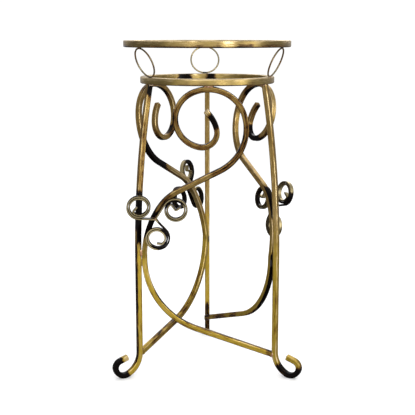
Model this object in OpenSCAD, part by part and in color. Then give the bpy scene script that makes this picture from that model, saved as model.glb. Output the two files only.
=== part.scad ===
// Wrought-iron plant stand: a rim and a smaller pot ring joined by three wire loops, on three
// square-bar legs with scroll feet. Each of the three panels between the legs holds one large
// square-bar scroll, and each scroll carries a three-armed cluster of flat-strip curls.
// Every joint is a weld. The floor is z = 0 and the axis of the rings is x = y = 0.
// The front panel faces -Y; the legs stand at the left, the right and the back.

/* [Rings] */
// Height of the stand, floor to the top of the rim
stand_h = 627; // [597:5:667]
// Outer diameter of the rim
rim_d = 312; // [296:2:330]
// Outer diameter of the pot ring, on which the legs are welded
seat_d = 251; // [236:1:264]
// Drop from the top of the rim to the top of the pot ring
rim_drop = 66; // [56:1:76]
// Side of the square bar that both rings are rolled from
ring_bar = 12.5; // [11:0.5:15]
// Thickness of the round wire of the loops
loop_wire = 3.2; // [2.5:0.1:5]
// Angle from a leg round to the loop that belongs to it
loop_turn = 3.5; // [0:0.5:6]

/* [Legs] */
// Side of the square bar of the legs and scrolls
leg_bar = 10; // [8:0.5:12]
// Radius from the axis of the rings to the middle of a leg, where it stands plumb
leg_r = 148; // [140:1:158]
// Height below which the legs stand plumb and where the scrolls touch them
hug_h = 231; // [215:1:248]
// Bend radius where a leg turns outwards into its foot
foot_sweep_r = 43; // [36:1:50]
// Bend radius of the curl of the foot, which tightens at its end
foot_curl_r = 18; // [16:0.5:21]
// Straight length at the tip of the foot
foot_tip = 17; // [10:1:22]

/* [Scrolls] */
// Bend radius of a scroll's crown, as a share of the height of its upper part
crown_share = 0.211; // [0.195:0.001:0.225]
// Shift of the crown to the right of the middle of its panel
crown_shift = 2; // [-4:1:6]
// Slope of the scroll's lower end below level, in degrees
end_slope = 19.5; // [15:0.5:22]
// Height of the middle of the scroll's lower end, where it meets the leg
end_h = 40; // [36:1:55]

/* [Curls] */
// Thickness of the flat strip
strip_t = 3; // [2:0.25:3.5]
// Width of the flat strip
strip_w = 8; // [6:0.5:10]
// Bend radius of a curl's outer half turn
curl_r = 21.5; // [19:0.5:24]
// Gap between the turns of a curl
curl_gap = 0.75; // [0.5:0.25:1.5]
// Straight length of the tail of each arm, from the middle of the cluster to its curl
arm_len = 30; // [24:1:34]

/* [Hidden] */

// Colours of the finish: brushed gold over black, browner on the rings
gold = [0.72, 0.58, 0.28];
bronze = [0.52, 0.42, 0.24];
shade = [0.34, 0.28, 0.15];

// Headings round the stand, seen from above, of the legs and of the panels between them
left_leg = -60;
right_leg = 60;
back_leg = 180;
front_panel = 0;
right_panel = 120;
left_panel = -120;

// How deep each weld bites into the piece beside it
weld_bite = 0.3;
// Each second step of a bent bar is this much thinner all round, and reaches this far into the
// steps beside it, so that the bar is one body and no two faces almost touch
step_thin = 0.01;
step_lap = 0.05;
// Bevel on the long edges of the bars
bar_bevel = 0.9;
ring_bevel = 1.2;
strip_bevel = 0.4;

// Levels
rim_under = stand_h - ring_bar;
seat_top = stand_h - rim_drop;
seat_under = seat_top - ring_bar;
rim_r = rim_d / 2;
seat_r = seat_d / 2;

// Loops: the foot of a loop stands near the outer edge of the pot ring, and its head hangs under
// the inner edge of the rim, so the loop leans outwards
loop_foot_r = seat_r - 2.5;
loop_head_r = rim_r - ring_bar + 2;
loop_rise = rim_under - seat_top - loop_wire + 2 * weld_bite;
loop_lean = atan2(loop_head_r - loop_foot_r, loop_rise);
loop_r = norm([loop_head_r - loop_foot_r, loop_rise]) / 2;
// How much further round than loop_turn the right and the back loop are welded
right_loop_turn = 4.5;
back_loop_turn = -1.5;

// Legs: one wide bow from the pot ring out to the plumb part, flush with the ring's outer face
leg_top_r = seat_r - leg_bar / 2;
bow_out = leg_r - leg_top_r;
bow_rise = seat_under - hug_h;
bow_r = (bow_rise * bow_rise + bow_out * bow_out) / (2 * bow_out);
bow_angle = 2 * atan2(bow_out, bow_rise);
// Extra length of bow that is cut level under the pot ring
bow_spare = 1;
// Foot: the leg turns outwards by foot_turn, then curls up and back over, tightening at the end
foot_turn = 65;
foot_start_h = leg_bar / 2 + foot_curl_r + (foot_sweep_r - foot_curl_r) * sin(foot_turn);
foot_curl = [foot_curl_r, 105];
foot_end = [foot_curl_r * 0.72, 82];

// Scrolls, in the plane of the panel. The lower part is plumb; the upper part leans out to the
// pot ring, and its crown hangs under the ring with the inner faces flush.
half_turned = leg_bar * (sin(60) + cos(60)) / 2;
side_x = leg_r * sin(60) - half_turned - leg_bar / 2 + weld_bite;
end_x = leg_r * sin(60) - half_turned + leg_bar / 4;
panel_y = leg_r * cos(60) - leg_bar / 4;
crown_y = seat_r - ring_bar + leg_bar / 2;
lean = atan2(crown_y - panel_y, seat_under - leg_bar / 2 - hug_h);
crown_h = seat_under - leg_bar / 2 * (cos(lean) + sin(lean)) + weld_bite;
upper_len = (crown_h - hug_h) / cos(lean);

// Bends of the crown and of the spiral inside it, as radius and angle, going from the crown
crown_r = crown_share * upper_len;
crown_down = [crown_r, 73];
shoulder = [1.3 * crown_r, 80];
crown_back = [crown_r, 26];
spiral_side = [0.783 * crown_r, 143];
spiral_foot = [0.4 * crown_r, 113];
spiral_rise = [0.95 * crown_r, 30];
spiral_tip = [0, 7];

// Headings of the straight part below the shoulder and of the bar below the elbow, and how far the
// crown's bends reach
fall = crown_down[1] + shoulder[1];
elbow_turn = 29;
sweep_turn = fall - elbow_turn - 90;
reach_x = crown_r * sin(crown_down[1]) + shoulder[0] * (sin(fall) - sin(crown_down[1]));
reach_z = crown_r * (1 - cos(crown_down[1])) + shoulder[0] * (cos(crown_down[1]) - cos(fall));
cross_x = side_x + crown_shift + reach_x;
// The radius of the sweep, of which the elbow above it has about half, and the straight length
// above both bring the scroll to the leg's side, plumb, exactly at hug_h
elbow_ratio = 0.49;
step_x = elbow_ratio * (sin(fall) - cos(sweep_turn)) + cos(sweep_turn) - 1;
step_z = elbow_ratio * (cos(fall) + sin(sweep_turn)) - sin(sweep_turn);
sweep_r = (upper_len - reach_z + cross_x * tan(fall)) / (-step_x * tan(fall) - step_z);
fall_len = (sweep_r * step_x + cross_x) / -cos(fall);

// Fold from the leaning plane to the plumb one. Below it come the low bend and the run to the next
// leg. The two lists hold, for the front, the right and the left panel, how much higher than end_h
// the run meets the leg and how much flatter it lies.
fold_r = 30;
end_rises = [0, 6, 6];
end_eases = [0, 1.5, 6];
run_x = end_x + side_x;

// Clusters: the tails of three curls meet on the outer face of the sweep. The three lists hold, for
// the front, the right and the left panel, how far up the sweep a cluster sits and how far it is
// turned, in degrees, and how far off the middle of the bar it sits.
cluster_ups = [26, 31, 32.5];
cluster_turns = [-2, -13, 66];
cluster_sides = [4, 0, 2];
cluster_out = leg_bar / 2 + strip_w / 2 - weld_bite;
tail_gap = strip_t / 2 * tan(30);
// An arm: heading of its tail, length of its tail as a share of arm_len, how steeply it rises off
// the scroll, and how far it rolls outwards
arm_a = [180, 0.97, 2, 2];
arm_b = [60, 1.1, 0, -2];
arm_c = [-45, 0.93, 4, 2];
// A curl is rolled over four half turns, each tighter than the one before it by half the pitch. The
// strip's end is kinked inwards, once for the arms a and c and into a V for the arm b, and its
// straight parts take a share of the radius of the space inside.
curl_pitch = strip_t + curl_gap;
half_turns = [for (i = [0:1:3]) [curl_r - i * curl_pitch / 2, -180]];
curl_in_r = curl_r - 2 * curl_pitch;
kink_r = strip_t / 2 + 1;
end_a = [[curl_in_r, -45], [kink_r, -85], [0, 0.72 * curl_in_r]];
end_b = [[curl_in_r, -15], [kink_r, -100], [0, 0.72 * curl_in_r], [kink_r, 92],
    [0, 0.6 * curl_in_r]];
end_c = [[curl_in_r, -95], [kink_r, -45], [0, 0.6 * curl_in_r]];

// Number of steps of a full turn for a bend of radius r
function steps(r) = 64 + 4 * ceil(r / 16);

// Cross-section of a bar, w across and t high, with bevelled edges
module bar_section(w, t, bevel) {
    a = w / 2;
    b = t / 2;
    polygon([[a - bevel, -b], [a, bevel - b], [a, b - bevel], [a - bevel, b],
        [bevel - a, b], [-a, b - bevel], [-a, bevel - b], [bevel - a, -b]]);
}

// A bend to the left: the bar comes in along +X at the origin and turns towards +Y. It starts and
// ends earlier and later by the angles back and ahead.
module bend(r, angle, w, t, bevel, back, ahead)
    translate([0, r, 0])
    rotate([0, 0, -90 - back])
    rotate_extrude(angle = angle + back + ahead, $fn = steps(r))
    translate([r, 0])
    bar_section(w, t, bevel);

// A straight piece along +X
module straight(length, w, t, bevel)
    rotate([90, 0, 90])
    linear_extrude(length)
    bar_section(w, t, bevel);

// A run of one bar along +X, step by step. A step is [0, length] for a straight piece,
// [radius, angle] for a bend in the plane, to the left if the angle is positive and to the right
// if it is negative, or [radius, angle, true] for a bend out of the plane, towards +Z.
module run(route, w, t, bevel = bar_bevel, thin = 0) {
    if (len(route) > 0) {
        r = route[0][0];
        turn = route[0][1];
        rest = [for (i = [1:1:len(route) - 1]) route[i]];
        width = w - 2 * thin;
        height = t - 2 * thin;
        lap = thin > 0 ? step_lap : 0;
        back = lap / max(r, 1) * 180 / PI;
        ahead = len(rest) > 0 ? back : 0;
        next_thin = step_thin - thin;
        if (r == 0) {
            translate([-lap, 0, 0])
            straight(turn + (len(rest) > 0 ? 2 * lap : lap), width, height, bevel);
            translate([turn, 0, 0])
            run(rest, w, t, bevel, next_thin);
        } else if (len(route[0]) == 3) {
            rotate([90, 0, 0])
            bend(r, turn, height, width, bevel, back, ahead);
            translate([0, 0, r])
            rotate([0, -turn, 0])
            translate([0, 0, -r])
            run(rest, w, t, bevel, next_thin);
        } else if (turn > 0) {
            bend(r, turn, width, height, bevel, back, ahead);
            translate([0, r, 0])
            rotate([0, 0, turn])
            translate([0, -r, 0])
            run(rest, w, t, bevel, next_thin);
        } else {
            mirror([0, 1, 0])
            bend(r, -turn, width, height, bevel, back, ahead);
            translate([0, -r, 0])
            rotate([0, 0, turn])
            translate([0, r, 0])
            run(rest, w, t, bevel, next_thin);
        }
    }
}

// A ring of square bar whose underside is at z = 0
module ring(outer_r)
    rotate_extrude($fn = 180)
    translate([outer_r - ring_bar / 2, ring_bar / 2])
    bar_section(ring_bar, ring_bar, ring_bevel);

module top_ring()
    color(bronze)
    translate([0, 0, rim_under])
    ring(rim_r);

module seat_ring()
    color(bronze)
    translate([0, 0, seat_under])
    ring(seat_r);

// A leaning circle of wire between the rings, at a heading round the stand
module loop(heading, turn)
    color(bronze)
    rotate([0, 0, heading + loop_turn + turn])
    translate([0, -(loop_foot_r + loop_head_r) / 2, (seat_top + rim_under) / 2])
    rotate([90 + loop_lean, 0, 0])
    rotate_extrude($fn = 96)
    translate([loop_r, 0])
    circle(d = loop_wire, $fn = 24);

// A leg at a heading round the stand, in the upright plane through the axis
module leg(heading)
    color(gold)
    rotate([0, 0, heading - 90])
    translate([leg_r, 0, hug_h]) {
        rotate([90, 90, 0])
        run([[0, hug_h - foot_start_h], [foot_sweep_r, foot_turn], foot_curl, foot_end,
            [0, foot_tip]], leg_bar, leg_bar);
        intersection() {
            rotate([90, -90, 0])
            run([[bow_r, bow_angle + bow_spare]], leg_bar, leg_bar);
            translate([-leg_r, -leg_bar, 0])
            cube([2 * leg_r, 2 * leg_bar, bow_rise]);
        }
    }

// The scroll's place in its panel: X to the right, Y up the leaning plane, Z outwards
module panel(heading)
    rotate([0, 0, heading])
    translate([crown_shift, -crown_y, crown_h])
    rotate([90 + lean, 0, 0])
    children();

// A scroll from the tip inside the spiral, over the crown, down beside one leg and on to the next
module scroll(heading, side) {
    slope = end_slope - end_eases[side];
    drop = hug_h - fold_r * sin(lean) - end_h - end_rises[side];
    low_r = (drop - run_x * tan(slope)) / (cos(slope) - tan(slope) * (1 - sin(slope)));
    run_len = (run_x - low_r * (1 - sin(slope))) / cos(slope) + leg_bar;
    color(gold)
    difference() {
        panel(heading) {
            rotate([0, 0, 180])
            run([crown_back, spiral_side, spiral_foot, spiral_rise, spiral_tip], leg_bar, leg_bar);
            run([[crown_down[0], -crown_down[1]], [shoulder[0], -shoulder[1]], [0, fall_len],
                [elbow_ratio * sweep_r, elbow_turn], [sweep_r, sweep_turn],
                [fold_r, lean, true], [low_r, 90 - slope], [0, run_len]], leg_bar, leg_bar);
        }
        // The end is cut to lie against the inner face of the next leg
        rotate([0, 0, heading - 90 + right_leg])
        translate([leg_r - leg_bar / 2, -3 * leg_bar, 0])
        cube([4 * leg_bar, 6 * leg_bar, hug_h / 2]);
    }
}

// One curl of a cluster: a straight tail, a little over two turns, and a kinked end
module curl(heading, side, arm, end) {
    up = cluster_ups[side];
    color(shade)
    panel(heading)
    translate([sweep_r * (1 - cos(up)) - side_x - crown_shift + cluster_sides[side],
        sweep_r * sin(up) - upper_len, cluster_out])
    rotate([0, 0, arm[0] + cluster_turns[side]])
    rotate([-arm[3], -arm[2], 0])
    translate([tail_gap, 0, 0])
    run(concat([[0, arm[1] * arm_len]], half_turns, end), strip_t, strip_w, strip_bevel);
}

top_ring();
seat_ring();
loop(left_leg, 0);  // loop_left
loop(right_leg, right_loop_turn);  // loop_right
loop(back_leg, back_loop_turn);  // loop_back
leg(left_leg);  // leg_left
leg(right_leg);  // leg_right
leg(back_leg);  // leg_back
scroll(front_panel, 0);  // scroll_front
scroll(right_panel, 1);  // scroll_right
scroll(left_panel, 2);  // scroll_left
curl(front_panel, 0, arm_a, end_a);  // curl_front_a
curl(front_panel, 0, arm_b, end_b);  // curl_front_b
curl(front_panel, 0, arm_c, end_c);  // curl_front_c
curl(right_panel, 1, arm_a, end_a);  // curl_right_a
curl(right_panel, 1, arm_b, end_b);  // curl_right_b
curl(right_panel, 1, arm_c, end_c);  // curl_right_c
curl(left_panel, 2, arm_a, end_a);  // curl_left_a
curl(left_panel, 2, arm_b, end_b);  // curl_left_b
curl(left_panel, 2, arm_c, end_c);  // curl_left_c
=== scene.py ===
"""Wrought-iron plant stand: the dressed model of the welded stand that the frame holds.

Every bar is a section carried along the same line as its exact solid, so that the rubbed gold
can run along the bar, and the weld beads, pale edges (bright wear and painted highlight),
painted shade and black patches sit where they belong.
Lengths are in millimetres until a piece becomes a mesh, and angles in degrees unless noted.
"""

import logging
from dataclasses import dataclass
from enum import Enum
from math import atan2, ceil, cos, degrees, hypot, pi, radians, sin, tan
from typing import Sequence

import bpy
import numpy as np
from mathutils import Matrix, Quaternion, Vector


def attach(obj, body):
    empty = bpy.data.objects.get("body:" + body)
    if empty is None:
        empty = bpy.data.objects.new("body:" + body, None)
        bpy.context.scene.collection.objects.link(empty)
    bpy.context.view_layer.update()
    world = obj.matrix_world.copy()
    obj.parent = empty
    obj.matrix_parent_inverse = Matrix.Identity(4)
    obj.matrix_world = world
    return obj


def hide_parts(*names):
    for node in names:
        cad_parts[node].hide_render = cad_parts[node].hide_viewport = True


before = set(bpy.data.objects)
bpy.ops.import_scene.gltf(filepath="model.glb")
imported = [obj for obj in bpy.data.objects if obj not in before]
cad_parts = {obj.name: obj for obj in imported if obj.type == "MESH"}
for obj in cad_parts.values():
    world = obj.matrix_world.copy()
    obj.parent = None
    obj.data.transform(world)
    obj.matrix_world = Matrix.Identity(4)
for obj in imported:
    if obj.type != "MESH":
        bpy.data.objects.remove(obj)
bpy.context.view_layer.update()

MM = 0.001
BODY = "root"
LOG = logging.getLogger("plant_stand")
Array = np.ndarray
Triple = tuple[float, float, float]

BEND_POINTS = 57 / 7  # least number of points for each radian of a bend
RING_POINTS, LOOP_POINTS, FLOOR_POINTS = 300, 96, 96  # points round each kind of circle
BEAD_RINGS, BEAD_POINTS = 22, 16  # rings of points along a weld bead, and points on each
SHARP = 35.0  # an edge that bends by more stays sharp
FADE = 14.0  # length over which a patch of wear comes in and goes out
WAVE = 90.0  # longest wave of the swell along a bar
STRETCH = 15.0  # how much longer than wide the brush marks are


# ---------------- lines and sections


class Heading(Enum):
    """A part of the stand by its heading round the axis, seen from above."""

    @property
    def label(self) -> str:
        """The name as the pieces carry it."""
        return self.name.lower()

    @property
    def index(self) -> int:
        """The place in lists that hold one value for each."""
        return list(type(self)).index(self)


class Panel(Heading):
    """A panel between two legs, with its scroll."""

    FRONT = 0
    RIGHT = 120
    LEFT = -120


class Corner(Heading):
    """A leg, and the loop that belongs to it."""

    LEFT = -60
    RIGHT = 60
    BACK = 180


@dataclass(frozen=True)
class Place:
    """A turn and an origin, built up in nested steps."""

    turn: Array
    origin: Array

    def way(self, *xyz: float) -> Array:
        """A direction given on the place's own axes, in the stand's."""
        return self.turn @ np.array(xyz, float)

    def point(self, *xyz: float) -> Array:
        """A point given on the place's own axes, in the stand's."""
        return self.origin + self.way(*xyz)

    def moved(self, *xyz: float) -> "Place":
        """The place moved along its own axes."""
        return Place(self.turn, self.point(*xyz))

    def rotated(self, x: float, y: float, z: float) -> "Place":
        """Turns about the place's own X, then Y, then Z axis.

        Args:
            x, y, z: the angles.

        Returns:
            The turned place.
        """
        turn = self.turn
        for axis, angle in ((2, z), (1, y), (0, x)):
            i, j = (axis + 1) % 3, (axis + 2) % 3
            step = np.eye(3)
            step[i, i] = step[j, j] = cos(radians(angle))
            step[j, i] = sin(radians(angle))
            step[i, j] = -step[j, i]
            turn = turn @ step
        return Place(turn, self.origin)


STAND = Place(np.eye(3), np.zeros(3))


@dataclass(frozen=True)
class Step:
    """One step of a bent bar: a straight length if radius is 0, else a bend by an angle."""

    radius: float
    amount: float
    fold: bool = False  # bends out of the bar's own plane


@dataclass(frozen=True)
class Line:
    """A bar's middle line, closed where its last point runs back into the first.

    A row for each point holds the point and the unit vectors along the bar, across it in its
    plane, and out of the plane.
    """

    rows: Array
    closed: bool = False

    def placed(self, place: Place) -> "Line":
        """The line at a place."""
        return Line(self.rows @ place.turn.T + place.origin * np.eye(4)[0][:, None], self.closed)

    def backwards(self) -> "Line":
        """The same line run from its other end, with its out axis kept."""
        return Line(self.rows[::-1] * np.array([1, -1, -1, 1])[:, None])

    def then(self, other: "Line") -> "Line":
        """This line followed by another that starts where it ends."""
        return Line(np.concatenate([self.rows, other.rows[1:]]))


def round_angles(count: int) -> Array:
    """The angles of points spread evenly round a circle, in radians."""
    return np.arange(count) * 2 * pi / count


def spokes(angles: Array) -> Array:
    """Unit vectors (cos a, sin a) at the angles a."""
    return np.stack([np.cos(angles), np.sin(angles)], 1)


def smooth(share: Array) -> Array:
    """A smooth step from 0 to 1: 3 t^2 - 2 t^3, with t the share held between 0 and 1."""
    t = np.clip(share, 0, 1)
    return t * t * (3 - 2 * t)


def bent_line(route: Sequence[Step], spacing: float = 2.5) -> Line:
    """Lays a bar's steps end to end from the origin along +X.

    A straight step is p + s * along. A bend of radius r by the angle a is
    p + r * (sin(a) * along + (1 - cos(a)) * inward), and the bar's axes turn by a with it.

    Args:
        route: the steps in order.
        spacing: the largest distance between points.

    Returns:
        The line, in its own plane.
    """
    blocks = [np.stack([np.zeros(3), *np.eye(3)])[None]]
    for step in route:
        start, along, across, out = blocks[-1][-1]
        if step.radius == 0:
            s = np.linspace(0, step.amount, max(2, ceil(step.amount / spacing) + 1))[1:, None]
            block = [start + s * along, *(v + 0 * s for v in (along, across, out))]
        else:
            angle = radians(abs(step.amount))
            count = max(3, ceil(angle * max(step.radius / spacing, BEND_POINTS)) + 1)
            a = np.linspace(0, angle, count)[1:, None]
            side = 1.0 if step.amount > 0 else -1.0
            inward = out if step.fold else side * across
            now = np.cos(a) * inward - np.sin(a) * along
            still = (across if step.fold else out) + 0 * a
            block = [start + step.radius * (np.sin(a) * along + (1 - np.cos(a)) * inward),
                     np.cos(a) * along + np.sin(a) * inward,
                     still if step.fold else side * now, now if step.fold else still]
        blocks.append(np.stack(block, 1))
    return Line(np.concatenate(blocks))


def round_line(radius: float, count: int) -> Line:
    """A closed circle about Z: (r cos a, r sin a, 0), with its across axis towards the middle.

    Args:
        radius: the circle's radius.
        count: the number of points.

    Returns:
        The closed line.
    """
    spoke = np.pad(spokes(round_angles(count)), ((0, 0), (0, 1)))
    up = np.array([0.0, 0.0, 1.0])
    return Line(np.stack([radius * spoke, np.cross(up, spoke), -spoke, up + 0 * spoke], 1), True)


@dataclass(frozen=True)
class Section:
    """A bar's cross-section: points, the way each faces, and how near each is to a corner."""

    points: Array
    facing: Array
    corner: Array

    @classmethod
    def square(cls, width: float, height: float, rounding: float, arc: int = 5) -> "Section":
        """A rectangle whose corners are quarter circles, with extra points along its sides.

        Args:
            width: size across the bar.
            height: size out of the plane.
            rounding: radius of the corners.
            arc: points on each corner.

        Returns:
            The section.
        """
        a = np.linspace(0, pi / 2, arc)
        share = np.array([0.06, 0.3, 0.5, 0.7, 0.94])
        points, facing = [], []
        for k in range(4):
            way = spokes(a + k * pi / 2)
            spot = np.array([1 if k in (0, 3) else -1, 1 if k < 2 else -1])
            points.append(spot * (np.array([width, height]) / 2 - rounding) + rounding * way)
            flat = (width if k % 2 == 0 else height) - 2 * rounding
            turned = np.array([-way[-1][1], way[-1][0]])
            points.append(points[-1][-1] + share[:, None] * flat * turned)
            facing += [way, np.repeat(way[-1:], len(share), 0)]
        corner = np.concatenate([np.sin(2 * a) * 0.75 + 0.25,
                                 np.maximum(0, 0.25 - 4 * share * (1 - share))])
        return cls(np.concatenate(points), np.concatenate(facing), np.tile(corner, 4))

    @classmethod
    def wire(cls, diameter: float, count: int = 16) -> "Section":
        """A circle of points: (r cos a, r sin a)."""
        way = spokes(round_angles(count))
        return cls(way * diameter / 2, way, np.full(count, 0.3))


# ---------------- wear of the finish


@dataclass(frozen=True)
class Patch:
    """A stretch of a bar where the gold is thicker or rubbed away; some patches are painted
    highlight and painted shade instead.
    """

    start: float  # distances along the bar
    end: float
    amount: float  # added to the share of gold, negative for black; some patches paint highlight and shade this way
    fade: float = FADE
    facing: Triple | Array | None = None  # the way that patched sides face, or None for all

    def weight(self, run: Array, normals: Array) -> Array:
        """How strongly the patch acts: a smooth window along the bar times how well a side faces.

        Args:
            run: distance along the bar for each ring of points.
            normals: the way each point of the grid faces.

        Returns:
            A weight for each point of the grid.
        """
        window = (smooth((run - self.start) / self.fade + 0.5)
                  * smooth((self.end - run) / self.fade + 0.5))[:, None]
        if self.facing is None:
            return window * np.ones(normals.shape[:2])
        way = np.array(self.facing) / np.linalg.norm(self.facing)
        return window * smooth((normals @ way - 0.1) / 0.5)


@dataclass(frozen=True)
class Wear:
    """How the gold lies on one bar."""

    gold: float  # share of gold on a side that faces sideways
    warmth: float  # 0 for brown bronze, 1 for yellow gold
    warmth_low: float  # warmth at the foot of the stand
    under: float = 0.3  # taken off where a side faces down: black left there, and painted shade on the undersides
    low: float = 0.0  # taken off towards the lower edge of every side: painted shade, darker towards the bottom
    sides: float = 0.0  # taken off on the two sides that lie in the plane of the bends: black left there, and painted shade for the bar's dark outline
    patches: tuple[tuple, ...] = ()  # the fields of each Patch

    def gold_share(self, run: Array, normals: Array, depth: Array, across: Array) -> Array:
        """Share of gold over a swept grid.

        Args:
            run: distance along the bar for each ring of points.
            normals: the way each point faces.
            depth: how far each point lies below the bar's middle line, in half thicknesses.
            across: how much each point faces across the bar in the plane of its bends.

        Returns:
            The share for each point, 0 black to 1 gold.
        """
        share = (self.gold - self.under * np.clip(-normals[..., 2], 0, 1) ** 1.5
                 - self.low * np.clip(depth, -0.3, 1) - self.sides * across ** 2)
        for patch in (Patch(*fields) for fields in self.patches):
            share = share + patch.amount * patch.weight(run, normals)
        return np.clip(share, -0.6, 1.4)

    def warmth_at(self, heights: Array) -> Array:
        """Warmth of the gold by height: warmth_low up to 160 mm, and warmth from 330 mm on."""
        return self.warmth_low + (self.warmth - self.warmth_low) * smooth((heights - 160.0) / 170.0)


# ---------------- meshes


@dataclass
class Skin:
    """Points, faces and named values of a mesh, before it becomes an object."""

    points: Array
    faces: list[list[int]]
    values: dict[str, Array]

    @staticmethod
    def joined(skins: Sequence["Skin"]) -> "Skin":
        """Several skins as one.

        Args:
            skins: the skins, which all hold the same named values.

        Returns:
            One skin with their points and faces in order.
        """
        starts = np.cumsum([0] + [len(s.points) for s in skins])
        faces = [[i + int(start) for i in f] for s, start in zip(skins, starts) for f in s.faces]
        return Skin(np.concatenate([s.points for s in skins]), faces,
                    {n: np.concatenate([s.values[n] for s in skins]) for n in skins[0].values})


def walls(rings: int, around: int, closed: bool = False) -> list[list[int]]:
    """Quads between neighbouring rings of points, outwards where rings run round their own way on.

    Args:
        rings: the number of rings.
        around: the number of points on each.
        closed: whether the last ring is joined to the first.

    Returns:
        The faces.
    """
    i, j = np.meshgrid(np.arange(rings if closed else rings - 1), np.arange(around), indexing="ij")
    i, i2, j2 = i * around, (i + 1) % rings * around, (j + 1) % around
    return np.stack([i + j2, i2 + j2, i2 + j, i + j], -1).reshape(-1, 4).tolist()


def fan(tip: int, ring: Array) -> list[list[int]]:
    """Triangles from a tip to a ring of points, in the ring's own direction round."""
    return np.stack([np.full(len(ring), tip), ring, np.roll(ring, -1)], 1).tolist()


def capped(rings: int, around: int) -> list[list[int]]:
    """The walls of a bar, closed by fans to two tips that follow the rings' points."""
    ring, count = np.arange(around), rings * around
    return walls(rings, around) + fan(count, ring[::-1]) + fan(count + 1, count - around + ring)


def waver(run: Array, seed: float, reach: float) -> Array:
    """A slow uneven swell between 0 and 1: four sines of falling length, with phases from a seed.

    Args:
        run: distance along the bar.
        seed: any number, which sets the phases.
        reach: longest wave.

    Returns:
        The swell at each distance.
    """
    waves = np.array([1.0, 0.61, 0.37, 0.23]) * reach
    phases = np.sin(seed * np.array([12.99, 78.23, 37.72, 9.13])) * 43758.5
    return 0.5 + np.sin(run[..., None] * 2 * pi / waves + phases).sum(-1) / 8


def carried(section: Section, line: Line, wear: Wear, seed: float, rough: float = 0.012,
            cuts: tuple[Array | None, Array | None] = (None, None), bevel: float = 0.7) -> Skin:
    """Carries a section along a line.

    Each point is p(s) + x * across(s) + y * out(s), with (x, y) drawn in by a slow swell of at most
    the share rough, so the bar stays within its exact solid. A free end is bevelled and closed by
    a fan. A cut end is slid along the bar onto a plane.

    Args:
        section: the cross-section.
        line: the middle line.
        wear: how the gold lies.
        seed: sets the swell and where the brush marks start.
        rough: largest share by which the section is drawn in.
        cuts: for the start and the end, the plane (a, b, c, d) with a x + b y + c z = d, or None.
        bevel: bevel of a free end.

    Returns:
        The skin with its values for the finish.
    """
    rows, draw = line.rows, np.ones(len(line.rows))
    size = np.abs(section.points).max(0).min()
    for at, cut in zip((0, -1), cuts):
        if cut is None and not line.closed:
            inner = rows[at].copy()
            inner[0] += bevel * inner[1] * (-1 if at else 1)
            rows = np.insert(rows, at or 1, inner, 0)
            draw = np.insert(draw, len(draw) if at else 0, 1 - bevel / size)
    points, along, across, out = rows.transpose(1, 0, 2)
    run = np.concatenate([[0.0], np.cumsum(np.linalg.norm(np.diff(points, axis=0), axis=1))])
    angle = round_angles(len(points))
    swell = 0.5 + 0.5 * np.sin(5 * angle + seed) if line.closed else waver(run, seed, WAVE)
    xy = section.points * (draw * (1 - rough * swell))[:, None, None]
    x, y = xy[..., 0], xy[..., 1]
    grid = points[:, None] + x[..., None] * across[:, None] + y[..., None] * out[:, None]
    for at, cut in zip((0, -1), cuts):
        if cut is not None:
            normal, level = cut[:3], cut[3]
            grid[at] += ((level - grid[at] @ normal) / (along[at] @ normal))[:, None] * along[at]
    normals = section.facing[:, :1] * across[:, None] + section.facing[:, 1:] * out[:, None]
    if line.closed:
        lap = np.linalg.norm(points[0] - points.mean(0)) / STRETCH * spokes(angle)
        grain = np.stack([lap[:, :1] + x, lap[:, 1:] + 0 * x, y], -1)
    else:
        grain = np.stack([run[:, None] / STRETCH + 0 * x, x, y], -1)
    depth = (points[:, None, 2] - grid[..., 2]) / size
    values = {"points": grid, "grain": (grain + 40 * sin(seed * 3.7) + 40) * MM,
              "gold": wear.gold_share(run, normals, depth, section.facing[None, :, 0]),
              "warmth": wear.warmth_at(grid[..., 2]), "corner": section.corner + 0 * x}
    for name, value in values.items():
        tips = [] if line.closed else [value[[0, -1]].mean(1)]
        values[name] = np.concatenate([value.reshape(-1, *value.shape[2:]), *tips])
    faces = walls(*x.shape, True) if line.closed else capped(*x.shape)
    return Skin(values.pop("points"), faces, values)


def bead(start: Array, end: Array, radius: float, seed: float, squash: float = 1.0,
         copper: float = 0.35) -> Skin:
    """A weld bead: a lump of round section along a short line, with ripples across it.

    The radius at the share u along the bead is R * (1 - (2u - 1)^4)^(1/2) * (1 + ripple + lumps),
    and both ends close in a point.

    Args:
        start, end: the ends.
        radius: largest radius.
        seed: sets the lumps.
        squash: height of the section as a share of its width.
        copper: share of bright copper on the bead.

    Returns:
        The bead's skin.
    """
    span = end - start
    length = np.linalg.norm(span)
    along = span / length
    side = np.cross(along, [0.31, 0.52, 0.79])
    side /= np.linalg.norm(side)
    up = np.cross(along, side)
    u = (1 - np.cos(np.linspace(0, pi, BEAD_RINGS + 2)[1:-1])) / 2
    u, a = np.meshgrid(u, round_angles(BEAD_POINTS), indexing="ij")
    ripple = 0.07 * np.cos(6 * pi * u + 0.8 * np.cos(a))
    lumps = 0.09 * np.sin(3 * a + seed * 5.1 + 4 * u) + 0.06 * np.sin(5 * u * pi + 2 * a + seed)
    r = radius * np.sqrt(np.clip(1 - (2 * u - 1) ** 4, 0, 1)) * (1 + ripple + lumps)
    grid = (start + (length + 1.2 * radius) * (u[..., None] - 0.5) * along + span / 2
            + (r * np.cos(a))[..., None] * side + (r * squash * np.sin(a))[..., None] * up)
    tips = np.stack([start - along * radius * 0.62, end + along * radius * 0.62])
    rows = np.concatenate([grid.reshape(-1, 3), tips])
    flat = {"gold": copper + 0.3 * sin(seed * 7.7), "warmth": 0.5, "corner": 0.2}
    return Skin(rows, capped(BEAD_RINGS, BEAD_POINTS),
                {"grain": rows * MM + seed * 0.013,
                 **{name: np.full(len(rows), value) for name, value in flat.items()}})


def put(name: str, data: bpy.types.ID) -> bpy.types.Object:
    """Puts an object of this data into the scene, at the origin."""
    obj = bpy.data.objects.new(name, data)
    bpy.context.scene.collection.objects.link(obj)
    return obj


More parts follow.
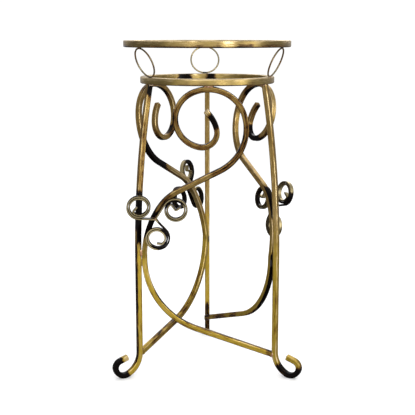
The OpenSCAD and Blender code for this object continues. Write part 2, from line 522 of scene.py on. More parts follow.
def put_mesh(name: str, rows: Array, faces: list[list[int]],
             material: bpy.types.Material) -> bpy.types.Object:
    """Puts a mesh into the scene.

    Args:
        name: the object's name.
        rows: its points in metres.
        faces: its faces.
        material: its finish.

    Returns:
        The object.
    """
    mesh = bpy.data.meshes.new(name)
    mesh.from_pydata(rows.tolist(), [], faces)
    mesh.materials.append(material)
    return put(name, mesh)


def piece(name: str, skin: Skin, slot: str, material: bpy.types.Material, *nodes: str) -> None:
    """Makes an object of a skin, at the origin, and lets it ride on the stand.

    Args:
        name: the piece's name.
        skin: its points, faces and values.
        slot: not used.
        material: its finish.
        nodes: the exact solids that it stands for.
    """
    obj = put_mesh(name, skin.points * MM, skin.faces, material)
    mesh = obj.data
    for key, values in skin.values.items():
        kind, field = ("FLOAT_VECTOR", "vector") if values.ndim == 2 else ("FLOAT", "value")
        layer = mesh.attributes.new(key, kind, "POINT")
        layer.data.foreach_set(field, values.astype(np.float32).ravel())
    mesh.polygons.foreach_set("use_smooth", np.ones(len(mesh.polygons), bool))
    mesh.set_sharp_from_angle(angle=radians(SHARP))
    mesh.update()
    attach(obj, BODY)
    if nodes:
        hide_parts(*nodes)
    LOG.info("%s: %d faces", name, len(mesh.polygons))


def welds(kind: str, beads: Sequence[Skin]) -> None:
    """Makes one piece of all the weld beads that belong to one kind of bar."""
    piece(f"{kind}_welds", Skin.joined(beads), kind, HeatedWeld(f"{kind}_weld").material())


# ---------------- finishes


class Value:
    """Wraps a node socket, so that sums, differences and products of numbers add Math nodes."""

    def __init__(self, shader: "Shader", socket: bpy.types.NodeSocket) -> None:
        """Keeps the socket and the shader that it belongs to."""
        self.shader, self.socket = shader, socket

    def _math(self, operation: str, *terms: "Value | float") -> "Value":
        """A Math node on the given terms."""
        return self.shader.node("ShaderNodeMath", {"operation": operation}, dict(enumerate(terms)))

    def __add__(self, other: "Value | float") -> "Value":
        """Sum."""
        return self._math("ADD", self, other)

    def __sub__(self, other: "Value | float") -> "Value":
        """Difference."""
        return self._math("SUBTRACT", self, other)

    def __rsub__(self, other: float) -> "Value":
        """Difference from a number on the left."""
        return self._math("SUBTRACT", other, self)

    def __mul__(self, other: "Value | float") -> "Value":
        """Product."""
        return self._math("MULTIPLY", self, other)

    __radd__, __rmul__ = __add__, __mul__

    def between(self, low: float, high: float, first: float = 0.0, last: float = 1.0) -> "Value":
        """A smooth step that is first below low and last above high."""
        return self.shader.node("ShaderNodeMapRange", {"interpolation_type": "SMOOTHSTEP"},
                                {"Value": self, "From Min": low, "From Max": high,
                                 "To Min": first, "To Max": last})


class Shader:
    """A node tree and the one way by which nodes are added to it."""

    def __init__(self, name: str, store: str = "materials") -> None:
        """Starts a material, or a world if that is the store, with no nodes."""
        self.owner = getattr(bpy.data, store).new(name)
        self.owner.use_nodes = True
        self.tree = self.owner.node_tree
        self.tree.nodes.clear()

    def node(self, kind: str, settings: dict | None = None, sockets: dict | None = None,
             output: str | int = 0) -> Value | None:
        """Adds a node, sets it up and links it.

        Args:
            kind: the node's type.
            settings: its own settings, such as an operation, which are set first.
            sockets: values or wrapped sockets for its inputs, by name or number.
            output: the output to hand back.

        Returns:
            The wrapped output, or None for a node that has none.
        """
        made = self.tree.nodes.new(kind)
        for key, value in (settings or {}).items():
            setattr(made, key, value)
        for key, value in (sockets or {}).items():
            if isinstance(value, Value):
                self.tree.links.new(value.socket, made.inputs[key])
            else:
                made.inputs[key].default_value = value
        return Value(self, made.outputs[output]) if len(made.outputs) else None

    def attribute(self, name: str, output: str = "Fac") -> Value:
        """A value stored on the mesh: "Fac" hands back a number, "Vector" three."""
        return self.node("ShaderNodeAttribute", {"attribute_name": name}, output=output)

    def place(self) -> Value:
        """Where each point lies on the object, in metres."""
        return self.node("ShaderNodeTexCoord", output="Object")

    def noise(self, vector: Value, scale: float, detail: float, roughness: float = 0.6) -> Value:
        """Noise between 0 and 1, with scale waves for each metre and detail finer layers."""
        return self.node("ShaderNodeTexNoise", None, {"Vector": vector, "Scale": scale,
                                                      "Detail": detail, "Roughness": roughness})

    def mixed(self, share: Value, low: Value | Triple, high: Value | Triple) -> Value:
        """Two colours mixed: the low one where the share is 0, the high one where it is 1."""
        low, high = (c if isinstance(c, Value) else (*c, 1.0) for c in (low, high))
        return self.node("ShaderNodeMix", {"data_type": "RGBA", "clamp_result": True},
                         {0: share, 6: low, 7: high}, 2)

    def bump(self, height: Value, strength: float, distance: float) -> Value:
        """A surface direction tilted by a height, with the distance in metres."""
        return self.node("ShaderNodeBump", None,
                         {"Strength": strength, "Distance": distance, "Height": height})

    def finish(self, sockets: dict) -> bpy.types.Material:
        """Adds the surface shader, with these values, and the output.

        Args:
            sockets: the values of the surface shader's inputs.

        Returns:
            The finished material.
        """
        surface = self.node("ShaderNodeBsdfPrincipled", None, sockets)
        self.node("ShaderNodeOutputMaterial", None, {"Surface": surface})
        return self.owner


@dataclass(frozen=True)
class RubbedGold:
    """Old gold rubbed by hand over black: streaks along the bar, brown where it is thin."""

    name: str
    black: Triple = (0.0018, 0.0008, 0.0006)  # the undercoat
    brown: Triple = (0.118, 0.053, 0.011)  # thin gold over it
    bronze: Triple = (0.36, 0.235, 0.072)  # the full coat where it is cool
    gold: Triple = (0.50, 0.340, 0.044)  # and where it is warm
    wear_and_highlight_colour: Triple = (0.74, 0.57, 0.30)  # pale metal: corners and the best-rubbed streaks rubbed bright, and a painted highlight along the long corners
    streaks: float = 2.0  # how far broad brush marks move the edge of the gold,
    threads: float = 1.1  # fine ones,
    blotches: float = 0.7  # and patches
    mark_scale: float = 380.0  # brush marks across a metre of bar,
    fineness: float = 3.1  # fine ones for each broad one,
    blotch_scale: float = 38.0  # patches along a metre,
    speck_scale: float = 900.0  # and specks
    roughness: float = 0.37
    metallic: float = 0.88
    edge: float = 0.0  # what long corners add to the gold; negative darkens them, as black left in them and as painted shade in the gaps between a curl's turns

    def material(self) -> bpy.types.Material:
        """Builds the node material.

        The share of gold g is the mesh's own value plus the streaks and blotches. Black turns to
        brown and brown to gold as g rises, and corners and the strongest streaks turn pale: bright
        wear, and a painted highlight along the long corners.

        Returns:
            The material.
        """
        s = Shader(self.name)
        grain, place = s.attribute("grain", "Vector"), s.place()
        streak = s.noise(grain, self.mark_scale, 4.0, 0.62)
        thread = s.noise(grain, self.mark_scale * self.fineness, 2.0, 0.5)
        blotch = s.noise(place, self.blotch_scale, 3.0)
        speck = s.noise(place, self.speck_scale, 2.0)
        corner = s.attribute("corner")
        share = (s.attribute("gold") + (streak - 0.5) * self.streaks
                 + (blotch - 0.5) * self.blotches + (thread - 0.5) * self.threads
                 + corner * self.edge)
        warm = (s.attribute("warmth") + (blotch - 0.5) * 0.8).between(0.15, 0.85)
        coat = s.mixed(warm, self.bronze, self.gold)
        dark = s.mixed(share.between(0.10, 0.36), self.black, self.brown)
        body = s.mixed(share.between(0.30, 0.70), dark, coat)
        # painted highlight and bright wear: long corners and the strongest streaks turn pale
        wear_and_highlight = (share + corner * 0.5 + (thread - 0.5) * 0.5).between(0.95, 1.5)
        colour = s.mixed(wear_and_highlight, body, self.wear_and_highlight_colour)
        mask = share.between(0.22, 0.5)
        rough = self.roughness + (speck - 0.5) * 0.22 + (1 - mask) * -0.17 + (streak - 0.5) * 0.1
        height = share * 0.5 + thread * 0.5 + speck * 0.35
        return s.finish({"Normal": s.bump(height, 0.25, 0.0002), "Base Color": colour,
                         "Metallic": mask * self.metallic + 0.05, "Roughness": rough,
                         "Specular IOR Level": 0.08})


@dataclass(frozen=True)
class HeatedWeld:
    """The skin of a weld bead: black scale with pink copper where the gold took hold."""

    name: str
    scale_colour: Triple = (0.012, 0.008, 0.008)  # the black scale
    copper: Triple = (0.35, 0.17, 0.085)
    pale: Triple = (0.80, 0.60, 0.42)  # rubbed tops
    lump_scale: float = 260.0  # lumps along a metre
    speck_scale: float = 1400.0

    def material(self) -> bpy.types.Material:
        """Builds the node material: noise picks black, copper or pale metal.

        Returns:
            The material.
        """
        s = Shader(self.name)
        place = s.place()
        lump, speck = s.noise(place, self.lump_scale, 3.0), s.noise(place, self.speck_scale, 2.0)
        share = s.attribute("gold") + (lump - 0.5) * 1.4 + (speck - 0.5) * 0.4
        body = s.mixed(share.between(0.2, 0.5), self.scale_colour, self.copper)
        colour = s.mixed(share.between(0.62, 0.9), body, self.pale)
        rough = 0.38 + (speck - 0.5) * 0.3
        return s.finish({"Normal": s.bump(lump + speck, 0.5, 0.0003), "Base Color": colour,
                         "Metallic": share.between(0.25, 0.6) * 0.7, "Roughness": rough})


# ---------------- the stand's parts


@dataclass
class Rings:
    """The rim and the pot ring, rolled from square bar."""

    stand_height: float = 627.0
    rim_diameter: float = 312.0  # outer diameters
    seat_diameter: float = 251.0
    drop: float = 66.0  # from the rim's top to the pot ring's top
    bar: float = 12.5  # side of the square bar
    rounding: float = 2.0  # radius of the bar's long edges

    @property
    def rim_under(self) -> float:
        """Height of the rim's underside."""
        return self.stand_height - self.bar

    @property
    def seat_top(self) -> float:
        """Height of the pot ring's top."""
        return self.stand_height - self.drop

    @property
    def seat_under(self) -> float:
        """Height of the pot ring's underside."""
        return self.seat_top - self.bar

    def ring(self, diameter: float, under: float, wear: Wear, seed: float) -> Skin:
        """One ring, by its outer diameter and the height of its underside."""
        line = round_line((diameter - self.bar) / 2, RING_POINTS).placed(
            STAND.moved(0, 0, under + self.bar / 2))
        return carried(Section.square(self.bar, self.bar, self.rounding), line, wear, seed, 0.006)

    def build(self) -> None:
        """Makes and dresses both rings."""
        finish = RubbedGold("ring_bronze", bronze=(0.28, 0.198, 0.075), gold=(0.45, 0.33, 0.085),
                            brown=(0.10, 0.055, 0.020), streaks=1.35, threads=0.7, blotches=0.7,
                            mark_scale=300.0, roughness=0.34).material()
        inside = (0.0, -1.0, 0.0)
        # On the rim's front the patches paint highlights: pale bands where strip lights reflect,
        # darker bands between them. Its under and low paint shade along its lower edge.
        rim = Wear(0.70, 0.28, 0.28, under=0.5, low=0.58, patches=(
            (545, 625, 0.2, 30), (664, 690, 0.1, 12), (731, 752, 0.4, 12), (758, 786, -0.16, 14),
            (786, 803, 0.2, 12), (815, 850, -0.1, 30), (860, 915, 0.3, 24)))
        seat = Wear(0.76, 0.34, 0.34, under=0.5, low=0.42, patches=(
            (170, 188, -0.85, 12, inside), (221, 250, -0.85, 12, inside),
            (400, 500, 0.25, 30), (640, 700, 0.25, 30)))
        for name, node, diameter, under, wear, seed in (
                ("rim", "top_ring", self.rim_diameter, self.rim_under, rim, 1.3),
                ("pot_ring", "seat_ring", self.seat_diameter, self.seat_under, seat, 2.1)):
            piece(name, self.ring(diameter, under, wear, seed), "ring", finish, node)


@dataclass
class Loops:
    """The three leaning circles of wire between the rings."""

    rings: Rings
    wire: float = 3.2  # thickness of the wire
    turn: float = 3.5  # from a leg round to its loop
    added: Triple = (0.0, 4.5, -1.5)  # how much further round each is welded
    foot_inset: float = 2.5  # from the pot ring's outer face in to a loop's foot
    head_overlap: float = 2.0  # of a loop's head under the rim, from its inner face
    bite: float = 0.3  # how deep a weld bites

    def place(self, corner: Corner) -> tuple[Place, float]:
        """Where a loop's own plane lies, and its radius.

        Args:
            corner: which loop.

        Returns:
            The place whose Z axis is the loop's axis, and the radius.
        """
        rings = self.rings
        foot = rings.seat_diameter / 2 - self.foot_inset
        head = rings.rim_diameter / 2 - rings.bar + self.head_overlap
        out, rise = head - foot, rings.rim_under - rings.seat_top - self.wire + 2 * self.bite
        spot = STAND.rotated(0, 0, corner.value + self.turn + self.added[corner.index])
        spot = spot.moved(0, -(foot + head) / 2, (rings.seat_top + rings.rim_under) / 2)
        lean = degrees(atan2(out, rise))
        return spot.rotated(90 + lean, 0, 0), hypot(out, rise) / 2

    def build(self) -> None:
        """Makes and dresses the loops and the weld beads at their feet and heads."""
        finish = RubbedGold("loop_bronze", bronze=(0.30, 0.255, 0.15), gold=(0.42, 0.36, 0.21),
                            streaks=1.0, threads=0.4, blotches=0.9, roughness=0.38).material()
        beads = []
        for k, corner in enumerate(Corner):
            spot, radius = self.place(corner)
            line = round_line(radius, LOOP_POINTS).placed(spot)
            wear = Wear(0.85 if corner is Corner.BACK else 0.55, 0.3, 0.3)
            skin = carried(Section.wire(self.wire), line, wear, k + 4.2, 0.01)
            name = f"loop_{corner.label}"
            piece(f"{name}_wire", skin, "loop", finish, name)
            for way, height in ((-1, self.rings.seat_top), (1, self.rings.rim_under)):
                middle, side = spot.point(0, way * radius, 0), spot.way(3.4, 0, 0)
                middle[2] = height - way * 0.4
                size = 3.0 if corner is Corner.BACK and way < 0 else 1.9
                beads.append(bead(middle - side, middle + side, size, k * 2 + way + 9.0, 0.85))
        welds("loop", beads)


@dataclass
class Legs:
    """The three legs: a bow under the pot ring, a plumb part and a scrolled foot."""

    rings: Rings
    bar: float = 10.0  # side of the square bar
    radius: float = 148.0  # from the stand's axis to the middle of a plumb leg
    hug: float = 231.0  # height below which the legs stand plumb
    sweep: tuple[float, float] = (43.0, 65.0)  # bend radius and angle out into the foot
    curl: float = 18.0  # bend radius of the foot's curl
    curl_turns: tuple[float, float] = (105.0, 82.0)  # angles of its wide and its tight bend
    tighter: float = 0.72  # radius of the tight bend as a share of the wide one's
    tip: float = 17.0  # straight length at the foot's end
    rounding: float = 1.5  # radius of the bar's long edges

    @property
    def top_radius(self) -> float:
        """Radius at which a leg meets the pot ring, flush with its outer face."""
        return self.rings.seat_diameter / 2 - self.bar / 2

    @property
    def section(self) -> Section:
        """The section of the square bar."""
        return Section.square(self.bar, self.bar, self.rounding)

    def line(self, corner: Corner) -> Line:
        """A leg's middle line from the tip of its foot to the pot ring.

        Args:
            corner: which leg.

        Returns:
            The line.
        """
        spot = STAND.rotated(0, 0, corner.value - 90).moved(self.radius, 0, self.hug)
        bend, turn = self.sweep
        wide, tight = self.curl_turns
        plumb = (self.hug - self.bar / 2 - self.curl
                 - (bend - self.curl) * sin(radians(turn)))
        down = bent_line([Step(0, plumb), Step(bend, turn), Step(self.curl, wide),
                          Step(self.curl * self.tighter, tight), Step(0, self.tip)])
        out, rise = self.radius - self.top_radius, self.rings.seat_under - self.hug
        bow = bent_line([Step((rise * rise + out * out) / (2 * out),
                              degrees(2 * atan2(out, rise)))], 4.0)
        down = down.placed(spot.rotated(90, 90, 0)).backwards()
        return down.then(bow.placed(spot.rotated(90, -90, 0)))

    def wear(self, corner: Corner) -> Wear:
        """How the gold lies on a leg, by distance from the tip of its foot.

        Args:
            corner: which leg.

        Returns:
            The wear.
        """
        outwards = STAND.rotated(0, 0, corner.value).way(0, -1, 0)
        to_left, to_right = (-0.5, -0.87, 0.0), (0.5, -0.87, 0.0)
        sides, patches = {
            Corner.LEFT: (0.2, (
                (-5, 11, 0.5, 6), (13, 68, -1.3, 10), (62, 98, -0.9, FADE, -outwards),
                # the outward-facing patch from 90 to 330 paints shade on the left leg's outer face
                (90, 330, -0.6, 30, outwards), (330, 424, -1.4, FADE, to_right),
                (356, 424, -1.2, FADE, outwards), (424, 540, -0.36, 30), (540, 620, -0.2, 30),
                (430, 620, 0.25, 30, outwards), (604, 660, -1.3, 10, to_right))),
            Corner.RIGHT: (0.1, (
                (32, 94, -0.98), (92, 150, 0.25, 25), (148, 262, -0.12, 22, to_left),
                (260, 600, 0.05, 30))),
            Corner.BACK: (-0.1, ((8, 150, -0.68, 20), (190, 620, -0.08, 60)))}[corner]
        return Wear(0.80, 0.18, 1.0, sides=sides, patches=patches)

    def build(self) -> None:
        """Makes and dresses the legs and the weld beads that hold them to the pot ring."""
        finish = RubbedGold("leg_gold").material()
        ring_face = np.array([0.0, 0.0, 1.0, self.rings.seat_under])
        half = self.bar / 2
        beads = []
        for k, corner in enumerate(Corner):
            skin = carried(self.section, self.line(corner), self.wear(corner), k + 11.4,
                           cuts=(None, ring_face))
            name = f"leg_{corner.label}"
            piece(f"{name}_bar", skin, "leg", finish, name)
            top = STAND.rotated(0, 0, corner.value - 90).moved(
                self.top_radius, 0, self.rings.seat_under - 0.8)
            for side in (-1, 1):
                beads.append(bead(top.point(1 - half, side * (half + 0.4), 0),
                                  top.point(half - 2, side * (half + 0.6), 0),
                                  1.7, k * 3 + side + 20.5, 0.8, 0.7))
            beads.append(bead(top.point(-half - 0.5, 1 - half, 0),
                              top.point(-half - 0.5, half - 1, 0), 1.9, k + 31.0))
        welds("leg", beads)


@dataclass
class Scrolls:
    """The large scroll in each panel, in a plane that leans out from the legs to the pot ring."""

    rings: Rings
    legs: Legs
    crown_share: float = 0.211  # crown radius as a share of the leaning length
    crown_shift: float = 2.0  # the crown's shift to the right of the panel's middle
    crown_turns: tuple[float, float] = (73.0, 80.0)  # the bends on the right of the crown
    crown_ease: float = 1.3  # radius of the second bend as a share of the first's
    spiral: tuple[tuple[float, float], ...] = (  # its bends: shares of the crown's radius, angles
        (1.0, 26.0), (0.783, 143.0), (0.4, 113.0), (0.95, 30.0))
    spiral_tip: float = 7.0  # the straight length after them
    end_slope: float = 19.5  # slope and height of the lower end
    end_height: float = 40.0
    elbow_turn: float = 29.0  # bend above the sweep
    elbow_ratio: float = 0.49  # its radius as a share of the sweep's
    fold: float = 30.0  # bend radius between the leaning and the plumb plane
    end_rises: Triple = (0.0, 6.0, 6.0)  # for each panel how much higher the end is
    end_eases: Triple = (0.0, 1.5, 6.0)  # and how much flatter
    bite: float = 0.3  # how deep a weld bites

    def __post_init__(self) -> None:
        """Works out the sizes that follow from the others, as the exact model does."""
        bar, hug, leg_r = self.legs.bar, self.legs.hug, self.legs.radius
        turned = bar * (sin(radians(60)) + cos(radians(60))) / 2
        self.side_x = leg_r * sin(radians(60)) - turned - bar / 2 + self.bite
        self.end_x = leg_r * sin(radians(60)) - turned + bar / 4
        self.crown_y = self.rings.seat_diameter / 2 - self.rings.bar + bar / 2
        self.lean = atan2(self.crown_y - leg_r * cos(radians(60)) + bar / 4,
                               self.rings.seat_under - bar / 2 - hug)
        self.crown_h = (self.rings.seat_under - bar / 2 * (cos(self.lean) + sin(self.lean))
                        + self.bite)
        self.upper_len = (self.crown_h - hug) / cos(self.lean)
        self.crown_r = self.crown_share * self.upper_len
        first, second = radians(self.crown_turns[0]), radians(sum(self.crown_turns))
        eased, ratio = self.crown_ease * self.crown_r, self.elbow_ratio
        sweep = second - radians(self.elbow_turn) - radians(90)
        reach_z = self.crown_r * (1 - cos(first)) + eased * (cos(first) - cos(second))
        cross_x = (self.side_x + self.crown_shift + self.crown_r * sin(first)
                   + eased * (sin(second) - sin(first)))
        step_x = ratio * (sin(second) - cos(sweep)) + cos(sweep) - 1
        step_z = ratio * (cos(second) + sin(sweep)) - sin(sweep)
        self.sweep_r = ((self.upper_len - reach_z + cross_x * tan(second))
                        / (-step_x * tan(second) - step_z))
        self.fall_len = (self.sweep_r * step_x + cross_x) / -cos(second)
        self.sweep_turn = degrees(sweep)

    def plane(self, panel: Panel) -> Place:
        """A panel's leaning plane at the crown: X to the right, Y up the plane, Z outwards."""
        spot = STAND.rotated(0, 0, panel.value).moved(self.crown_shift, -self.crown_y, self.crown_h)
        return spot.rotated(90 + degrees(self.lean), 0, 0)

    def line(self, panel: Panel) -> Line:
        """A scroll's middle line from the tip inside its spiral to the next leg.

        Args:
            panel: which panel.

        Returns:
            The line.
        """
        r, (first, second) = self.crown_r, self.crown_turns
        spiral = bent_line([*(Step(share * r, turn) for share, turn in self.spiral),
                            Step(0, self.spiral_tip)])
        slope = radians(self.end_slope - self.end_eases[panel.index])
        drop = (self.legs.hug - self.fold * sin(self.lean) - self.end_height
                - self.end_rises[panel.index])
        run_x = self.end_x + self.side_x
        low_r = ((drop - run_x * tan(slope))
                 / (cos(slope) - tan(slope) * (1 - sin(slope))))
        run_len = (run_x - low_r * (1 - sin(slope))) / cos(slope)
        main = bent_line([Step(r, -first), Step(self.crown_ease * r, -second),
                          Step(0, self.fall_len),
                          Step(self.elbow_ratio * self.sweep_r, self.elbow_turn),
                          Step(self.sweep_r, self.sweep_turn),
                          Step(self.fold, degrees(self.lean), True),
                          Step(low_r, 90 - degrees(slope)), Step(0, run_len)])
        plane = self.plane(panel)
        return spiral.placed(plane.rotated(0, 0, 180)).backwards().then(main.placed(plane))

    def end_plane(self, panel: Panel) -> Array:
        """The inner face of the next leg, on which a scroll's end is cut."""
        way = radians(panel.value - 30)
        return np.array([cos(way), sin(way), 0.0, self.legs.radius - self.legs.bar / 2])

    def wear(self, panel: Panel) -> Wear:
        """How the gold lies on a scroll, by distance from the tip inside the spiral.

        Args:
            panel: which panel.

        Returns:
            The wear.
        """
        below, above = (0.0, 0.0, -1.0), (0.0, -0.3, 0.95)
        sides, patches = {
            Panel.FRONT: (0.46, (
                (-5, 7, 0.6, 4), (10, 35, -1.1), (35, 350, -0.3, 40), (350, 474, -0.46, 18),
                (470, 535, -0.8, FADE, below), (556, 600, -0.34), (598, 652, -1.2),
                (660, 745, 0.1, 30), (755, 1010, -0.10, 40),
                # the upward-facing patch from 765 to 850 paints shade on the top faces of the sweep
                (765, 850, -0.35, 30, (0.55, -0.1, 0.8)), (1014, 1040, -0.4, 8))),
            Panel.RIGHT: (0.08, (
                (-20, 60, -0.25), (50, 108, -1.3), (150, 215, 0.35, 30), (245, 306, -0.52, 24),
                (325, 430, -0.15, FADE, above), (558, 605, -0.6, FADE, below),
                (560, 622, -1.4, 16, (0.42, -0.74, 0.52)), (692, 806, -1.5, 20, (0.45, -0.8, -0.4)),
                (890, 1040, -0.5, 60), (1005, 1040, -0.12))),
            Panel.LEFT: (0.16, (
                (10, 42, -0.6, FADE, below), (100, 132, -0.7), (262, 300, -0.3, 24),
                (400, 478, -1.3, 20), (498, 640, 0.3, 30), (500, 650, 0.4, 30, below),
                (640, 760, 0.05, 30), (770, 870, -0.28, 40), (872, 940, -0.34, 20),
                (935, 1040, -0.36, 20), (1000, 1040, 0.25, 20)))}[panel]
        return Wear(0.80, 0.15, 1.0, under=0.85, low=0.10, sides=sides, patches=patches)

    def build(self) -> None:
        """Makes and dresses the scrolls and the weld beads at their crowns, sides and ends."""
        finish = RubbedGold("scroll_gold").material()
        bar = self.legs.bar
        level = self.rings.seat_under - 0.9
        beads = []
        for k, panel in enumerate(Panel):
            line, plane = self.line(panel), self.end_plane(panel)
            skin = carried(self.legs.section, line, self.wear(panel), k + 40.7, cuts=(None, plane))
            name = f"scroll_{panel.label}"
            piece(f"{name}_bar", skin, "scroll", finish, name)
            spot = STAND.rotated(0, 0, panel.value)
            for side, reach in ((-1, 5.5), (1, 7.0)):
                depth = self.crown_y + side * (bar / 2 + 0.2)
                beads.append(bead(spot.point(self.crown_shift - reach, -depth, level),
                                  spot.point(self.crown_shift + reach, -depth, level),
                                  1.8, k * 5 + side, 0.9))
            for shift, depth, low, high, size, copper in ((-1.2, -5.4, 233, 244, 2.4, 0.95),
                                                          (0.3, 4.6, 212, 224, 1.7, 0.2)):
                x = -self.side_x - bar / 2 + shift
                y = -self.legs.radius / 2 + bar / 4 + depth
                beads.append(bead(spot.point(x, y, low), spot.point(x, y, high), size,
                                  k * 4 + depth + 50, copper=copper))
            last, along, across, out = line.rows[-1]
            last = last + along * ((plane[3] - last @ plane[:3]) / (along @ plane[:3]) - 1.2)
            for a, b in ((across, out), (-across, out), (out, across)):
                edge = last + a * (bar / 2 + 0.1)
                beads.append(bead(edge - b * 3.4, edge + b * 3.4, 1.6, k * 7 + a[2] + 63, 0.9))
        welds("scroll", beads)


@dataclass
class Clusters:
    """The spray of three strip curls on each scroll's sweep."""

    scrolls: Scrolls
    thickness: float = 3.0  # section of the flat strip
    width: float = 8.0
    rounding: float = 0.65
    radius: float = 21.5  # bend radius of the outer half turn
    gap: float = 0.75  # gap between turns
    arm: float = 30.0  # length of a curl's tail
    ups: Triple = (26.0, 31.0, 32.5)  # for each panel how far up the sweep a cluster sits,
    turns: Triple = (-2.0, -13.0, 66.0)  # its turn,
    sides: Triple = (4.0, 0.0, 2.0)  # and how far off the middle of the bar it sits

    @property
    def pitch(self) -> float:
        """Distance between the middles of neighbouring turns."""
        return self.thickness + self.gap

    def hub(self, panel: Panel) -> Place:
        """Where the tails of a cluster meet, in the panel's plane."""
        s, up = self.scrolls, radians(self.ups[panel.index])
        return s.plane(panel).moved(
            s.sweep_r * (1 - cos(up)) - s.side_x - s.crown_shift + self.sides[panel.index],
            s.sweep_r * sin(up) - s.upper_len, s.legs.bar / 2 + self.width / 2 - s.bite)

    def curl(self, panel: Panel, arm: Sequence[float], end: Sequence[Step]) -> Line:
        """One curl's middle line: its tail, two turns that grow tighter, and its kinked end.

        Args:
            panel: which panel.
            arm: heading of the tail, its length as a share, its rise and its roll.
            end: the steps after the turns.

        Returns:
            The line.
        """
        start = self.thickness / 2 * tan(radians(30))
        place = self.hub(panel).rotated(0, 0, arm[0] + self.turns[panel.index])
        place = place.rotated(-arm[3], -arm[2], 0).moved(start, 0, 0)
        turns = [Step(self.radius - i * self.pitch / 2, -180) for i in range(4)]
        return bent_line([Step(0, arm[1] * self.arm), *turns, *end], 1.8).placed(place)

    def marks(self, panel: Panel, letter: str) -> tuple[tuple, ...]:
        """The patches that only one curl has, by distance from the cluster's middle."""
        return {(Panel.FRONT, "b"): ((156, 196, -1.1),),
                (Panel.FRONT, "c"): ((8, 76, -1.5), (150, 210, -1.3)),
                (Panel.RIGHT, "a"): ((-10, 58, -1.0), (62, 142, 0.7), (180, 300, 0.7)),
                (Panel.RIGHT, "b"): ((48, 138, 0.5), (228, 300, 0.6)),
                (Panel.RIGHT, "c"): ((-5, 400, 0.5),),
                (Panel.LEFT, "a"): ((94, 134, 0.8),),
                (Panel.LEFT, "b"): ((88, 142, 0.8), (204, 300, 0.7))}.get((panel, letter), ())

    def build(self) -> None:
        """Makes and dresses the curls and the beads where their tails meet."""
        # edge darkens the strips' long corners: black left in them, and painted shade that draws
        # the dark gaps between turns
        finish = RubbedGold("curl_olive", bronze=(0.47, 0.385, 0.205), gold=(0.60, 0.49, 0.25),
                            brown=(0.07, 0.048, 0.020), wear_and_highlight_colour=(0.76, 0.62, 0.46), streaks=1.0,
                            threads=0.4, blotches=0.6, mark_scale=420.0, edge=-0.75).material()
        section = Section.square(self.thickness, self.width, self.rounding, 4)
        inner, kink = self.radius - 2 * self.pitch, self.thickness / 2 + 1
        long, short = Step(0, 0.72 * inner), Step(0, 0.6 * inner)
        arms = {"a": ((180, 0.97, 2, 2), (Step(inner, -45), Step(kink, -85), long)),
                "b": ((60, 1.1, 0, -2), (Step(inner, -15), Step(kink, -100), long,
                                         Step(kink, 92), short)),
                "c": ((-45, 0.93, 4, 2), (Step(inner, -95), Step(kink, -45), short))}
        beads = []
        for panel in Panel:
            hub = self.hub(panel)
            outwards = hub.way(0, 0, 1)
            for k, (letter, (arm, end)) in enumerate(arms.items()):
                wear = Wear(0.12, 0.35, 0.5, patches=(
                    (-5, 400, 0.75, FADE, outwards), (-5, 400, -0.3, FADE, -outwards),
                    *self.marks(panel, letter)))
                skin = carried(section, self.curl(panel, arm, end), wear,
                               k + panel.index * 3 + 70.1, bevel=0.4)
                name = f"curl_{panel.label}_{letter}"
                piece(f"{name}_strip", skin, "curl", finish, name)
                foot = hub.moved(0, 0, 0.6 - self.width / 2)
                foot = foot.rotated(0, 0, arm[0] + self.turns[panel.index])
                beads.append(bead(foot.point(1.5, 0, 0), foot.point(6.5, 0, 0), 1.9,
                                  k * 1.7 + panel.index + 81))
            beads.append(bead(hub.point(0, 0, -self.width / 2), hub.point(0, 0, self.width / 2 - 1),
                              2.3, panel.index + 90.0))
        welds("curl", beads)


# ---------------- the studio


@dataclass(frozen=True)
class Light:
    """A lamp, or a card that shows in reflections, facing the stand's middle. In metres."""

    name: str
    place: Triple
    size: tuple[float, float]  # its width and height
    strength: float  # a lamp's watts or a card's brightness
    aim: Triple = (0.0, 0.0, 0.33)  # the stand's middle

    @property
    def turn(self) -> Quaternion:
        """The turn by which its -Z axis points at the stand's middle."""
        return (Vector(self.aim) - Vector(self.place)).to_track_quat("-Z", "Y")

    def lamp(self) -> None:
        """Adds it as a soft rectangular lamp."""
        data = bpy.data.lights.new(self.name, "AREA")
        data.shape, data.size, data.size_y = "RECTANGLE", *self.size
        data.energy = self.strength
        lamp = put(self.name, data)
        lamp.location, lamp.rotation_euler = self.place, self.turn.to_euler()

    def flag(self) -> None:
        """Hangs it as a card that nothing but the bars' reflections shows."""
        turn, half = self.turn, Vector((*self.size, 0.0)) / 2
        rows = np.array([Vector(self.place) + turn @ (half * Vector((x, y, 0.0)))
                         for x, y in ((-1, -1), (1, -1), (1, 1), (-1, 1))])
        shade = self.strength
        card = put_mesh(self.name, rows, [[0, 1, 2, 3]], Shader(self.name).finish(
            {"Base Color": (0.0, 0.0, 0.0, 1.0), "Specular IOR Level": 0.0,
             "Emission Color": (shade, shade, shade * 1.05, 1.0), "Emission Strength": 1.0}))
        card.visible_camera = card.visible_diffuse = card.visible_shadow = False


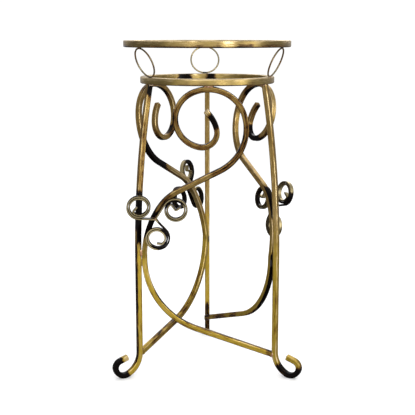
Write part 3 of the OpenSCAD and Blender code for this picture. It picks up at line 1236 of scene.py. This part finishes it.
@dataclass
class Studio:
    """The pale floor, the soft light and the camera, in metres."""

    distance: float = 1.740  # the camera's place in front of the stand's axis
    height: float = 0.6368
    pitch: float = 0.186  # how far it looks down, in radians
    focal: float = 920.15  # focal length in pixels of the frame
    offset: tuple[float, float] = (0.28, 0.5)  # shift of the picture's middle, in pixels
    frame_size: int = 415  # side of the frame in pixels

    def camera(self) -> None:
        """Makes the camera at the photograph's viewing angle."""
        data = bpy.data.cameras.new("camera")
        data.sensor_width = 36.0
        data.lens = self.focal / self.frame_size * data.sensor_width
        data.shift_x, data.shift_y = (v / self.frame_size for v in self.offset)
        data.clip_start, data.clip_end = 0.05, 60.0
        camera = put("camera", data)
        camera.location = (0.0, -self.distance, self.height)
        camera.rotation_euler = (pi / 2 - self.pitch, 0.0, 0.0)
        bpy.context.scene.camera = camera

    def floor(self) -> None:
        """Lays the pale floor, a disc whose height is 0: rings (r cos a, r sin a, 0)."""
        circle = round_line(1.0, FLOOR_POINTS).rows[:, 0]
        radii = (40.0, 12.0, 4.0, 1.5, 0.5)
        rows = np.concatenate([*(r * circle for r in radii), np.zeros((1, 3))])
        inmost = np.arange(len(rows) - 1)[-FLOOR_POINTS:]
        faces = walls(len(radii), FLOOR_POINTS) + fan(len(rows) - 1, inmost)
        s = Shader("floor_white")
        mottle = s.noise(s.place(), 2.0, 2.0, 0.55)
        colour = s.mixed(mottle, (0.96, 0.96, 0.96), (0.975, 0.975, 0.975))
        floor = put_mesh("floor", rows, faces, s.finish(
            {"Base Color": colour, "Roughness": 1.0, "Specular IOR Level": 0.0}))
        floor.visible_glossy = False

    def world(self) -> None:
        """A white room whose light falls off smoothly below the horizon."""
        s = Shader("room", "worlds")
        way = s.node("ShaderNodeTexCoord", output="Generated")
        up = s.node("ShaderNodeSeparateXYZ", None, {0: way}, "Z")
        strength = up.between(-0.62, -0.10, 0.06, 1.35)
        light = s.node("ShaderNodeBackground", None, {"Strength": strength})
        s.node("ShaderNodeOutputWorld", None, {"Surface": light})
        bpy.context.scene.world = s.owner

    def build(self) -> None:
        """Sets up the camera, the lamps, the cards, the floor and the colour handling."""
        self.camera()
        Light("key", (0.95, -2.1, 0.95), (0.14, 1.9), 14.0).lamp()
        Light("side", (1.25, -0.75, 0.70), (0.30, 1.4), 5.0).lamp()
        Light("fill", (-0.70, -2.1, 1.2), (0.20, 1.6), 9.0).lamp()
        Light("back", (0.3, 1.8, 1.6), (1.6, 0.8), 10.0).lamp()
        Light("flag_left", (-1.5, 0.1, 0.3), (2.6, 3.4), 0.22).flag()
        Light("flag_right", (1.5, 0.3, 0.3), (2.2, 3.4), 0.34).flag()
        Light("flag_top", (0.0, 0.2, 2.4), (3.4, 2.8), 0.55).flag()
        Light("flag_back", (0.0, 2.6, 1.2), (6.0, 3.0), 0.62).flag()
        Light("flag_low", (0.0, 2.4, -0.45), (6.0, 1.2), 0.15).flag()
        self.floor()
        self.world()
        bpy.context.scene.view_settings.view_transform = "Standard"
        bpy.context.scene.view_settings.look = "None"


def main() -> None:
    """Builds the stand part by part."""
    logging.basicConfig(level=logging.INFO, format="%(message)s")
    rings = Rings()
    legs = Legs(rings)
    scrolls = Scrolls(rings, legs)
    rings.build()
    Loops(rings).build()
    legs.build()
    scrolls.build()
    Clusters(scrolls).build()
    Studio().build()
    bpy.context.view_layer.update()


if __name__ == "__main__":
    main()
